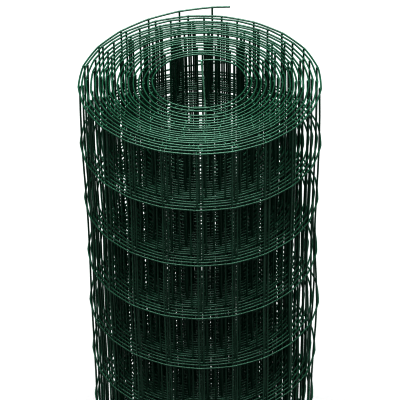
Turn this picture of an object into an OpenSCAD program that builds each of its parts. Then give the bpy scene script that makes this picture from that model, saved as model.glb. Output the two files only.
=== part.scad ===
// Roll of plastic-coated welded wire mesh, standing on its end.
// The wound mesh is one turned solid with its open bore. The turns show on both ends as
// rings with gaps between them, and the loose outer end of the mesh springs off the roll
// at the back. Millimetres, +Z up, origin on the bore axis at the level it stands on.

/* [Roll] */
// Diameter over the outermost turn that lies tight
outer_d = 344; // [300:1:500]
// Diameter of the open bore
bore_d = 124; // [60:1:180]
// Height of the mesh, which is the length of the roll
roll_h = 1020; // [400:10:2000]
// Number of turns wound on one another
turns = 19; // [4:1:24]

/* [Wire] */
// Diameter of one wire over its coating
wire_d = 2.5; // [1.4:0.1:3]
// How far down the gaps between the turns are cut into each end
gap_depth = 10; // [2:1:40]

/* [Loose end] */
// Direction in which the outer end starts to leave the roll, from +X
lift_start = 152; // [120:1:170]
// Angle that the loose stretch covers about its own centre
lift_sweep = 69; // [50:1:90]
// How much larger its bend radius is than the roll's
lift_spread = 34; // [8:1:44]
// How far the loose stretch stops short of each end, as the last turn sits a little inside
lift_inset = 1; // [0.5:0.5:10]

/* [Hidden] */
$fn = 180;

outer_r = outer_d / 2;
bore_r = bore_d / 2;
// a stay and a line wire, welded where they cross
mesh_t = 2 * wire_d;
turn_pitch = (outer_r - bore_r - wire_d) / (turns - 1);
// the loose stretch begins this far under the surface, so that it grows out of the roll
root_sink = wire_d / 2;
green = [0.16, 0.27, 0.21];

// Inner radius of the ring that one turn shows on an end of the roll
function turn_inner_r(turn) = bore_r + turn * turn_pitch;

// Outline of one end from the bore outwards. face is the level of the end, and floor
// the level of the bottom of the gaps between the turns.
function end_outline(face, floor) = [
    for (turn = [0 : turns - 1])
        let (inner = turn_inner_r(turn), outer = inner + wire_d)
            each [
                if (turn > 0) [inner, floor],
                [inner, face],
                [outer, face],
                if (turn < turns - 1) [outer, floor]
            ]
];

function backwards(list) = [for (i = [len(list) - 1 : -1 : 0]) list[i]];

// The turns that lie tight, from the bore to the outside
module wound_turns() {
    rotate_extrude()
        polygon(concat(
            end_outline(0, gap_depth),
            backwards(end_outline(roll_h, roll_h - gap_depth))
        ));
}

// The last stretch of the outer turn, bent to a larger radius than the roll
module loose_end() {
    bend_r = outer_r + lift_spread - root_sink;
    rotate([0, 0, lift_start])
        translate([-lift_spread, 0, 0])
            rotate([0, 0, -lift_sweep])
                rotate_extrude(angle = lift_sweep)
                    translate([bend_r - mesh_t, lift_inset])
                        square([mesh_t, roll_h - 2 * lift_inset]);
}

module mesh_roll() {
    color(green)
        union() {
            wound_turns();
            loose_end();
        }
}

mesh_roll();
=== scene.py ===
"""Roll of green plastic-coated welded wire mesh, standing on its end.

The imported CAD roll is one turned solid. Here it is replaced by the mesh itself: line wires that
run round the roll in one long spiral, upright stays welded to their inner side, and the small
fillets of coating where they cross. Metres, in the CAD frame.
"""

import math

import bpy
import numpy as np
from mathutils import Matrix, Vector


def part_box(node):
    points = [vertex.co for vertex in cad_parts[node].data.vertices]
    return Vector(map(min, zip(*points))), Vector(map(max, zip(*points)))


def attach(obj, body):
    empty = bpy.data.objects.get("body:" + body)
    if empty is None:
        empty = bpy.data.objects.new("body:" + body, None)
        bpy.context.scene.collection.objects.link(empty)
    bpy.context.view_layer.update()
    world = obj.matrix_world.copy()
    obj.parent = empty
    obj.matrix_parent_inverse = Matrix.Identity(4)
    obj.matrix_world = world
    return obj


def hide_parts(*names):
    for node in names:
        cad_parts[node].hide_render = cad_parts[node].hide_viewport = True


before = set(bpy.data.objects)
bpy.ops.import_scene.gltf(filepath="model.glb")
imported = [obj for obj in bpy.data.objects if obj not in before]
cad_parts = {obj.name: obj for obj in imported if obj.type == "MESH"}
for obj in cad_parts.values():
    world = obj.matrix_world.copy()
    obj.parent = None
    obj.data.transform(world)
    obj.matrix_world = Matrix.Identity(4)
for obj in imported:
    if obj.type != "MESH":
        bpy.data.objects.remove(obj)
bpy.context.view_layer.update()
NODE_LOW, NODE_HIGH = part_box("mesh_roll")

MM = 0.001
ROLL_R = (NODE_HIGH.x - NODE_LOW.x) / 2
ROLL_H = NODE_HIGH.z - NODE_LOW.z

# The mesh, as it is sold
WIRE_D = 2.5 * MM
CELL_H = 101.6 * MM
CELL_W = 50.6219 * MM
LINE_WIRES = 11
# The line wires are made in three pieces, by their levels from the foot up
LINE_WIRE_PIECES = {"low": range(0, 4), "middle": range(4, 8), "high": range(8, LINE_WIRES)}
STAY_OVERHANG = (ROLL_H - (LINE_WIRES - 1) * CELL_H) / 2
WELD_SINK = 0.15                     # share of a wire's diameter that the weld pushes together
WELD_GAP = WIRE_D * (1 - WELD_SINK)  # between the axes of a line wire and a stay

# The coating that fills the corners of a crossing
FILLET_CORNERS = 8
FILLET_REACH = 1.3 * MM
FILLET_DEPTH = 0.9 * MM
FILLET_TAPER = 0.55                  # share of the reach that is left at that depth

# How finely the wires are made
SIDES = 8
RINGS_PER_CELL = 8
STAY_RINGS = 21
HALVINGS = 40                        # to find the place of a stay
# A cut end is blunt, with a slight bead: places of its rings from the tip, and their widths, both
# in wire radii
TIP_PLACES = [0.0, 0.12, 0.45, 1.0]
TIP_WIDTHS = [0.45, 0.8, 1.0, 1.05]

# The winding. Angles are in degrees from +X, and grow from the loose outer end inwards.
STUB_ANGLE = 76.4                    # the cut ends of the line wires
TAIL_STAY_ANGLE = 84.2               # the first stay
TAIL_ROOT_ANGLE = 165.0              # where the loose end leaves the roll
TAIL_LIFT = 24 * MM                  # how far it springs out at its cut ends
TAIL_CURL = 2.5                      # power: the lift comes late
TAIL_BASE = 170.4 * MM               # its radius where it crosses +Y, without the lift
FIRST_TURN = 167.1 * MM              # radius of the outermost turn, where it crosses -Y and +Y
# Space between one turn and the next, from the outside in, where they cross -Y and +Y
FRONT_GAPS = [7.1, 5.9, 5.4, 6.3, 4.5, 4.5, 4.5, 4.5, 4.5, 5.5, 5.0, 5.0, 5.8, 5.5, 6.6, 6.8, 10.4, 7.3]
BACK_GAPS = [6.0, 8.5, 4.5, 5.8, 4.8, 5.7, 4.5, 4.5, 8.8, 4.5, 4.8, 5.2, 7.0, 6.8, 7.4, 4.8, 4.5, 4.5]
TURNS = len(FRONT_GAPS) + 1
# The roll is a little wider than it is deep, and not quite evenly so
OUTER_BULGE = 6.0 * MM
INNER_BULGE = 4.3 * MM
# The turns just inside the outermost one crowd towards it at the sides
CROWDED_FROM = 3
SIDE_CROWDING = [0.8, 1.6, 1.6, 1.6, 1.2, 0.8, 0.4]
LOOSENESS = 1.0 * MM                 # of the inner turns; the outer ones lie closer
OUTER_LOOSENESS = 0.4 * MM
FIRM_CROSSINGS = 10                  # half turns over which they loosen
CLOSEST_TURNS = 4.5 * MM             # a line wire with a stay inside it
WINDING_SEED = 20865
# Each turn slips along itself a little on the way down, and the roll swells and narrows
SLIP = 6 * MM
SLIP_SEED = 2854
WELD_PLAY = 0.4 * MM
SWELL = 1.8 * MM
SWELL_WAVES = 17.0                   # radians from the upper end to the foot
SWELL_PHASE = 3.0                    # of its two lobes round the roll, at the foot, in radians
# The outermost turn stands off on the right, part of the way down
SLACK = 4.5 * MM
SLACK_ANGLE = 360.0
SLACK_DEPTH = 0.40                   # share of the height, from the upper end down
SLACK_SPREAD = 0.09
# A line wire is kinked at the stays: share of a straight run from stay to stay in its path
OUTER_STRAIGHTNESS = 0.5
INNER_STRAIGHTNESS = 0.2
# The inner end leans into the bore
END_CURL = 12 * MM
END_CURL_SWEEP = 60.0
END_STUB = 6 * MM                    # of a line wire past the last stay
END_REACH = 15.0                     # how far past +Y the last stay may stand
# The last stay of all is bent out of line below the upper end
END_LEAN = 11 * MM
END_LEAN_DEPTH = 150 * MM

# The camera stands off from the middle of the upper end, and looks a little below it. Angles
# are in degrees.
TARGET_Y = 3.4 * MM
CAMERA_DISTANCE = 9.36               # in diameters of the roll
CAMERA_ELEVATION = 36.36
CAMERA_PITCH = 39.40
CAMERA_YAW = -0.075
CAMERA_ROLL = -0.85
SENSOR_WIDTH = 36                    # like the lens, in mm of a camera
LENS = 201.8
NEAR_CLIP = 0.1
FAR_CLIP = 60

# The coating's colours, and its finish
GREEN = ((0.021, 0.085, 0.053), (0.034, 0.122, 0.080))
# Painted light: a paler green for the last stay, for the light it catches inside the bore
PAINTED_LIT_GREEN = ((0.24, 0.44, 0.34), (0.34, 0.56, 0.45))
COLOUR_STOPS = (0.3, 0.7)
CLEAR_COAT = 0.9
CLEAR_COAT_ROUGHNESS = 0.25
GLOSSY_PATCH, DULL_PATCH = 0.35, 0.5
WAVE_STRENGTH = 0.25
WAVE_HEIGHT = 0.15 * MM

# The studio
FLOOR_SIZE = 40
FLOOR_ROUGHNESS = 0.9
FLOOR_THROWN_BACK = 0.21             # the grey that lights the roll from below
FLOOR_SEEN = 0.335                   # the grey that the camera sees, white under this light
LIGHT_STRENGTH = 10.2
LIGHT_SPREAD = 80.0                  # degrees across
LIGHT_TILT = 5.0                     # degrees towards the front
LIGHT_FROM_AROUND = 0.04
GAMMA = 0.5
BLACK_LEVEL = 0.016
PIXEL_FILTER = 1.25                  # width in pixels


def make_camera():
    """The camera stands in front of the roll and looks down on its upper end."""
    target = Vector((0, TARGET_Y, ROLL_H - STAY_OVERHANG))
    distance = CAMERA_DISTANCE * 2 * ROLL_R
    elevation = math.radians(CAMERA_ELEVATION)
    pitch = math.radians(CAMERA_PITCH)
    roll = math.radians(CAMERA_ROLL)
    yaw = math.radians(CAMERA_YAW)
    data = bpy.data.cameras.new("camera")
    data.sensor_width = SENSOR_WIDTH
    data.lens = LENS
    data.clip_start = NEAR_CLIP
    data.clip_end = FAR_CLIP
    camera = bpy.data.objects.new("camera", data)
    bpy.context.scene.collection.objects.link(camera)
    away = Vector((0, -math.cos(elevation), math.sin(elevation)))
    forward = Vector((
        math.sin(yaw) * math.cos(pitch),
        math.cos(yaw) * math.cos(pitch),
        -math.sin(pitch),
    ))
    level_right = Vector((math.cos(yaw), -math.sin(yaw), 0))
    level_up = level_right.cross(forward)
    right = math.cos(roll) * level_right + math.sin(roll) * level_up
    up = math.cos(roll) * level_up - math.sin(roll) * level_right
    rotation = Matrix((right, up, -forward)).transposed()
    camera.matrix_world = (
        Matrix.Translation(target + away * distance) @ rotation.to_4x4()
    )
    bpy.context.scene.camera = camera


def winding_controls():
    """Radii of the spiral at every half turn: the tail at the back, then front, back, front..."""
    radii = np.empty(2 * TURNS + 1)
    radii[0] = TAIL_BASE
    radii[1::2] = FIRST_TURN - np.concatenate([[0], np.cumsum(FRONT_GAPS)]) * MM
    radii[2::2] = FIRST_TURN - np.concatenate([[0], np.cumsum(BACK_GAPS)]) * MM
    return 90 + 180 * np.arange(len(radii)), radii


CONTROL_ANGLES, CONTROL_RADII = winding_controls()
BACK_END_ANGLE = CONTROL_ANGLES[-1]
LAST_PLACE = len(CONTROL_RADII) - 1.0001  # just short of the last control


def side_bulges():
    """How far the spiral stands out at each crossing of the X axis, from the outer end inwards."""
    crossings = len(CONTROL_RADII) + 2
    bulges = np.linspace(OUTER_BULGE, INNER_BULGE, crossings)
    bulges[CROWDED_FROM:CROWDED_FROM + len(SIDE_CROWDING)] += np.array(SIDE_CROWDING) * MM
    looseness = np.interp(
        np.arange(crossings), [0, FIRM_CROSSINGS], [OUTER_LOOSENESS, LOOSENESS]
    )
    bulges += np.random.default_rng(WINDING_SEED).uniform(-1, 1, crossings) * looseness
    # Turns that would press into each other at a side are moved apart
    for crossing in range(1, len(CONTROL_RADII) - 2):
        turn_and_next = CONTROL_RADII[crossing - 1:crossing + 3]
        gap = (turn_and_next[:2].sum() - turn_and_next[2:].sum()) / 2
        gap += bulges[crossing] - bulges[crossing + 2]
        push = max(CLOSEST_TURNS - gap, 0) / 2
        bulges[crossing] += push
        bulges[crossing + 2] -= push
    return bulges


SIDE_BULGES = side_bulges()
SIDE_CROSSINGS = len(SIDE_BULGES)


def winding_radius(angle):
    """Radius of the line wires' spiral at a winding angle."""
    place = np.clip((angle - CONTROL_ANGLES[0]) / 180, 0, LAST_PLACE)
    index = np.floor(place).astype(int)
    share = place - index
    # Half steady, half eased, from one control to the next
    ease = share * share * (3 - 2 * share)
    blend = 0.5 * share + 0.5 * ease
    radius = CONTROL_RADII[index] * (1 - blend) + CONTROL_RADII[index + 1] * blend
    crossing = np.rint(np.clip(angle / 180, 0, SIDE_CROSSINGS - 1)).astype(int)
    radius = radius + SIDE_BULGES[crossing] * np.cos(np.radians(angle)) ** 2
    lifted = np.clip((TAIL_ROOT_ANGLE - angle) / (TAIL_ROOT_ANGLE - STUB_ANGLE), 0, 1)
    curled = np.clip((angle - BACK_END_ANGLE) / END_CURL_SWEEP + 1, 0, 1)
    return radius + TAIL_LIFT * lifted ** TAIL_CURL - END_CURL * curled ** 2


def winding_point(angle, height=ROLL_H):
    """Place in plan on the spiral at a height, with the roll's swell and the outermost turn's slack."""
    turn = np.radians(angle)
    depth = 1 - height / ROLL_H
    swell = SWELL * math.sin(SWELL_WAVES * depth) * np.cos(2 * turn + SWELL_PHASE * depth)
    beside = np.clip((np.asarray(angle) - SLACK_ANGLE) / 90, -1, 1)
    slack = SLACK * math.exp(-((depth - SLACK_DEPTH) / SLACK_SPREAD) ** 2)
    radius = winding_radius(angle) + swell + slack * np.cos(beside * math.pi / 2) ** 2
    return np.stack([radius * np.cos(turn), radius * np.sin(turn)], axis=-1)


def stay_angles():
    """Winding angles of the stays, each one cell width from the last, found by halving."""
    angles = [TAIL_STAY_ANGLE]
    while True:
        here = winding_point(np.float64(angles[-1]))
        low, high = angles[-1], angles[-1] + 90
        for _ in range(HALVINGS):
            middle = (low + high) / 2
            if np.linalg.norm(winding_point(np.float64(middle)) - here) < CELL_W:
                low = middle
            else:
                high = middle
        if high > BACK_END_ANGLE + END_REACH:
            return np.array(angles)
        angles.append(high)


STAY_ANGLES = stay_angles()
END_STUB_ANGLE = math.degrees(END_STUB / CONTROL_RADII[-1])
# How far each turn has slipped along the spiral at the foot, and each stay's own error
SLIP_NOISE = np.random.default_rng(SLIP_SEED)
SLIP_AT_CROSSINGS = SLIP_NOISE.uniform(-SLIP, SLIP, SIDE_CROSSINGS)
STAY_PLAY = SLIP_NOISE.uniform(-WELD_PLAY, WELD_PLAY, len(STAY_ANGLES))


def stay_angles_at(height):
    """Winding angles of the stays at a height: at the upper end they are exactly one cell apart."""
    slip = np.interp(STAY_ANGLES / 180, np.arange(SIDE_CROSSINGS), SLIP_AT_CROSSINGS)
    moved = (slip + STAY_PLAY) * (1 - height / ROLL_H)
    moved[-1] -= END_LEAN * (1 - math.exp((height - ROLL_H) / END_LEAN_DEPTH))
    return STAY_ANGLES + np.degrees(moved / winding_radius(STAY_ANGLES))


def straightness(angle):
    """How straight a line wire runs from stay to stay. It is kinked most on the outer turns."""
    share = (angle - STUB_ANGLE) / (BACK_END_ANGLE - STUB_ANGLE)
    return OUTER_STRAIGHTNESS - (OUTER_STRAIGHTNESS - INNER_STRAIGHTNESS) * share


def line_wire_path(height):
    """Points of the spiral in plan at a height, with the kinks at the stays."""
    stays = stay_angles_at(height)
    first_end = STUB_ANGLE + stays[0] - STAY_ANGLES[0]
    ends = np.concatenate([[first_end], stays, [stays[-1] + END_STUB_ANGLE]])
    points = []
    for start, end in zip(ends[:-1], ends[1:]):
        shares = np.arange(RINGS_PER_CELL) / RINGS_PER_CELL
        angles = start + (end - start) * shares
        bent = winding_point(angles, height)
        first, last = winding_point(start, height), winding_point(end, height)
        chord = first + (last - first) * shares[:, None]
        keep = straightness(angles)[:, None]
        points.append(bent * (1 - keep) + chord * keep)
    points.append(winding_point(ends[-1], height)[None])
    return np.concatenate(points)


def rounded_ends(lengths, radius):
    """Adds rings at both ends of a run of lengths, so that a wire ends in a blunt rounded tip."""
    tip = radius * np.array(TIP_PLACES)
    widths = radius * np.array(TIP_WIDTHS)
    inner = lengths[(lengths > lengths[0] + tip[-1]) & (lengths < lengths[-1] - tip[-1])]
    stretched = np.concatenate([lengths[0] + tip, inner, lengths[-1] - tip[::-1]])
    radii = np.concatenate([widths, np.full(len(inner), radius), widths[::-1]])
    return stretched, radii


def tube(centres, across, upward, radii):
    """Vertices and faces of a capped tube. across and upward are unit vectors for each centre."""
    turn = 2 * math.pi * np.arange(SIDES) / SIDES
    ring = (
        np.cos(turn)[None, :, None] * across[:, None, :]
        + np.sin(turn)[None, :, None] * upward[:, None, :]
    )
    vertices = (centres[:, None, :] + ring * radii[:, None, None]).reshape(-1, 3)
    count = len(centres)
    here = np.arange(SIDES)
    after = (here + 1) % SIDES
    base = (np.arange(count - 1) * SIDES)[:, None]
    quads = np.stack(
        [base + here, base + after, base + SIDES + after, base + SIDES + here], axis=-1
    ).reshape(-1, 4)
    caps = [list(range(SIDES))[::-1], list(range((count - 1) * SIDES, count * SIDES))]
    return vertices, quads.tolist() + caps


def fillet_faces():
    """Faces of a fillet: a closed shape of three rings of corners."""
    count = FILLET_CORNERS
    faces = [list(range(count))[::-1], list(range(2 * count, 3 * count))]
    for ring in (0, count):
        for corner in range(count):
            here = ring + corner
            after = ring + (corner + 1) % count
            faces.append([here, after, count + after, count + here])
    return faces


FILLET_FACES = fillet_faces()


class Piece:
    """Gathers many small closed shapes into one mesh object."""

    def __init__(self, name):
        self.name = name
        self.vertices = []
        self.faces = []
        self.count = 0

    def add(self, vertices, faces):
        """Takes one closed shape. Its faces count its own vertices from 0."""
        self.faces.extend([[i + self.count for i in face] for face in faces])
        self.vertices.append(vertices)
        self.count += len(vertices)

    def finish(self, material):
        """Makes the object. The wires' sides are smooth, and their end caps are flat."""
        mesh = bpy.data.meshes.new(self.name)
        mesh.from_pydata(np.concatenate(self.vertices).tolist(), [], self.faces)
        mesh.materials.append(material)
        mesh.polygons.foreach_set("use_smooth", [len(f) == 4 for f in self.faces])
        mesh.update()
        piece = bpy.data.objects.new(self.name, mesh)
        bpy.context.scene.collection.objects.link(piece)
        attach(piece, "root")
        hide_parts("mesh_roll")


def level_height(level):
    """Height of a line wire's axis. Level 0 is the lowest."""
    return STAY_OVERHANG + level * CELL_H


def make_line_wires(material):
    """The wires that run round the roll, one at each level."""
    for name, levels in LINE_WIRE_PIECES.items():
        piece = Piece("line_wires_" + name)
        for level in levels:
            plan = line_wire_path(level_height(level))
            steps = np.linalg.norm(np.diff(plan, axis=0), axis=1)
            lengths = np.concatenate([[0], np.cumsum(steps)])
            places, radii = rounded_ends(lengths, WIRE_D / 2)
            x = np.interp(places, lengths, plan[:, 0])
            y = np.interp(places, lengths, plan[:, 1])
            centres = np.column_stack([x, y, np.full(len(x), level_height(level))])
            tangent = np.gradient(centres, axis=0)
            tangent /= np.linalg.norm(tangent, axis=1)[:, None]
            across = np.column_stack([tangent[:, 1], -tangent[:, 0], np.zeros(len(x))])
            upward = np.tile([0.0, 0.0, 1.0], (len(x), 1))
            piece.add(*tube(centres, across, upward, radii))
        piece.finish(material)


def stay_places(height):
    """Axes of all the stays in plan at a height, inside the line wires."""
    on_spiral = winding_point(stay_angles_at(height), height)
    inward = -on_spiral / np.linalg.norm(on_spiral, axis=1)[:, None]
    return on_spiral + inward * WELD_GAP, inward


def make_stays(material, painted_lit_material):
    """The upright wires. The very last one, inside the bore, is coloured a paler green: painted light,
    for the light it catches there.
    """
    heights, radii = rounded_ends(np.linspace(0, ROLL_H, STAY_RINGS), WIRE_D / 2)
    places = np.stack([stay_places(height)[0] for height in heights], axis=1)
    across = np.tile([1.0, 0.0, 0.0], (len(heights), 1))
    upward = np.tile([0.0, 1.0, 0.0], (len(heights), 1))
    stays = Piece("stays")
    last_stay = Piece("inner_end_stay")
    for number, place in enumerate(places):
        # The last stay gets the paler coating, which is painted light
        piece = last_stay if number == len(places) - 1 else stays
        piece.add(*tube(np.column_stack([place, heights]), across, upward, radii))
    stays.finish(material)
    last_stay.finish(painted_lit_material)


def make_weld_fillets(material):
    """The coating that fills the corners where a stay crosses a line wire."""
    piece = Piece("weld_fillets")
    number = np.arange(FILLET_CORNERS)
    corners = number * 2 * math.pi / FILLET_CORNERS
    # The outline is a square, and four of its points are the middles of the sides
    reach = np.where(number % 2 == 1, FILLET_REACH * math.sqrt(2), FILLET_REACH)
    rings = ((-FILLET_DEPTH, FILLET_TAPER), (0.0, 1.0), (FILLET_DEPTH, FILLET_TAPER))
    for level in range(LINE_WIRES):
        places, inward = stay_places(level_height(level))
        for place, normal in zip(places, inward):
            middle = np.array([*(place - normal * WELD_GAP / 2), level_height(level)])
            normal = np.array([*normal, 0.0])
            along = np.array([-normal[1], normal[0], 0.0])
            vertices = []
            for offset, size in rings:
                for corner, distance in zip(corners, reach):
                    vertices.append(
                        middle + normal * offset
                        + along * (math.cos(corner) * distance * size)
                        + np.array([0, 0, math.sin(corner) * distance * size])
                    )
            piece.add(np.array(vertices), FILLET_FACES)
    piece.finish(material)


def coating_material(name, colours):
    """Green plastic coating: glossy, with slightly uneven colour, gloss and skin."""
    material = bpy.data.materials.new(name)
    material.use_nodes = True
    nodes, links = material.node_tree.nodes, material.node_tree.links
    shader = nodes["Principled BSDF"]
    shader.inputs["Coat Weight"].default_value = CLEAR_COAT
    shader.inputs["Coat Roughness"].default_value = CLEAR_COAT_ROUGHNESS
    coords = nodes.new("ShaderNodeTexCoord").outputs["Object"]

    def noise(scale, detail):
        node = nodes.new("ShaderNodeTexNoise")
        node.inputs["Scale"].default_value = scale
        node.inputs["Detail"].default_value = detail
        links.new(coords, node.inputs["Vector"])
        return node.outputs["Fac"]

    # Colour drifts over a few centimetres of wire
    ramp = nodes.new("ShaderNodeValToRGB")
    for element, position, colour in zip(ramp.color_ramp.elements, COLOUR_STOPS, colours):
        element.position = position
        element.color = (*colour, 1)
    links.new(noise(scale=30, detail=3), ramp.inputs["Fac"])
    links.new(ramp.outputs["Color"], shader.inputs["Base Color"])
    # Duller and glossier patches a few millimetres long
    gloss = nodes.new("ShaderNodeMapRange")
    gloss.inputs["To Min"].default_value = GLOSSY_PATCH
    gloss.inputs["To Max"].default_value = DULL_PATCH
    links.new(noise(scale=250, detail=2), gloss.inputs["Value"])
    links.new(gloss.outputs["Result"], shader.inputs["Roughness"])
    # The faint waviness of plastic that was dipped and cooled
    bump = nodes.new("ShaderNodeBump")
    bump.inputs["Strength"].default_value = WAVE_STRENGTH
    bump.inputs["Distance"].default_value = WAVE_HEIGHT
    links.new(noise(scale=900, detail=2), bump.inputs["Height"])
    links.new(bump.outputs["Normal"], shader.inputs["Normal"])
    return material


def make_floor():
    """A plain pale floor, white under the light. It throws back less light than it shows."""
    bpy.ops.mesh.primitive_plane_add(size=FLOOR_SIZE)
    floor = bpy.context.object
    floor.name = "floor"
    material = bpy.data.materials.new("pale_floor")
    material.use_nodes = True
    nodes, links = material.node_tree.nodes, material.node_tree.links
    shader = nodes["Principled BSDF"]
    shader.inputs["Roughness"].default_value = FLOOR_ROUGHNESS
    shade = nodes.new("ShaderNodeMapRange")
    shade.inputs["To Min"].default_value = FLOOR_THROWN_BACK
    shade.inputs["To Max"].default_value = FLOOR_SEEN
    links.new(nodes.new("ShaderNodeLightPath").outputs["Is Camera Ray"], shade.inputs["Value"])
    links.new(shade.outputs["Result"], shader.inputs["Base Color"])
    floor.data.materials.append(material)


def make_room():
    """Hardly any light from around. Beyond the floor's edge the room is seen as white as the floor."""
    world = bpy.data.worlds.new("studio")
    world.use_nodes = True
    nodes, links = world.node_tree.nodes, world.node_tree.links
    around = nodes["Background"]
    around.inputs["Color"].default_value = (1, 1, 1, 1)
    around.inputs["Strength"].default_value = LIGHT_FROM_AROUND
    backdrop = nodes.new("ShaderNodeBackground")
    backdrop.inputs["Color"].default_value = (1, 1, 1, 1)
    mix = nodes.new("ShaderNodeMixShader")
    links.new(nodes.new("ShaderNodeLightPath").outputs["Is Camera Ray"], mix.inputs["Fac"])
    links.new(around.outputs["Background"], mix.inputs[1])
    links.new(backdrop.outputs["Background"], mix.inputs[2])
    links.new(mix.outputs["Shader"], nodes["World Output"].inputs["Surface"])
    bpy.context.scene.world = world


def make_light():
    """One wide soft light from above, a little from the front."""
    data = bpy.data.lights.new("overhead", "SUN")
    data.angle = math.radians(LIGHT_SPREAD)
    data.energy = LIGHT_STRENGTH
    light = bpy.data.objects.new("overhead", data)
    light.rotation_euler = (math.radians(LIGHT_TILT), 0, 0)
    bpy.context.scene.collection.objects.link(light)


def set_picture():
    """A crisp picture with deep blacks, and mid tones darker than a plain view's."""
    scene = bpy.context.scene
    scene.cycles.filter_width = PIXEL_FILTER
    view = scene.view_settings
    view.view_transform = "Standard"
    view.gamma = GAMMA
    view.use_curve_mapping = True
    view.curve_mapping.black_level = (BLACK_LEVEL, BLACK_LEVEL, BLACK_LEVEL)
    view.curve_mapping.update()


make_camera()
coating = coating_material("green_coating", GREEN)
# A paler copy of the coating, painted light for the last stay
lit_paint = coating_material("painted_lit_coating", PAINTED_LIT_GREEN)
make_line_wires(coating)
make_stays(coating, lit_paint)
make_weld_fillets(coating)
make_floor()
make_room()
make_light()
set_picture()
